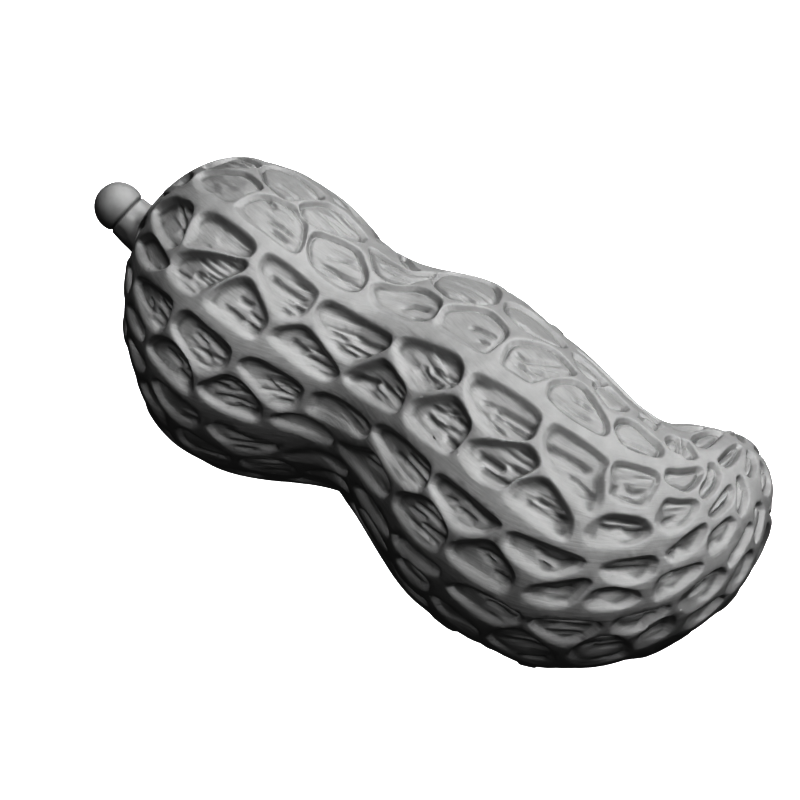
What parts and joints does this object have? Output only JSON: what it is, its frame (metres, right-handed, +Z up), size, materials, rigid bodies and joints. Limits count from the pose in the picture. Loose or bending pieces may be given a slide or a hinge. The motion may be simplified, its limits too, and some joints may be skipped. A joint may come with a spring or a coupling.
{
  "type": "peanut in shell",
  "caption": "Unshelled peanut pod, waisted between its lobes, with a netted ridged shell, a curled beak and a short knobbed stem stub.",
  "frame": {"origin": "middle of the outline seen from above, on the surface the pod lies on", "axes": "+X along the pod from the stem end to the beak end, +Y towards the side the beak curls to, +Z up"},
  "size_m": [0.0448, 0.0184, 0.016],
  "materials": {
    "dry_shell": null,
    "dry_stem": null
  },
  "bodies": {
    "root": {"pod": "dry_shell", "stem": "dry_stem"}
  },
  "joints": []
}
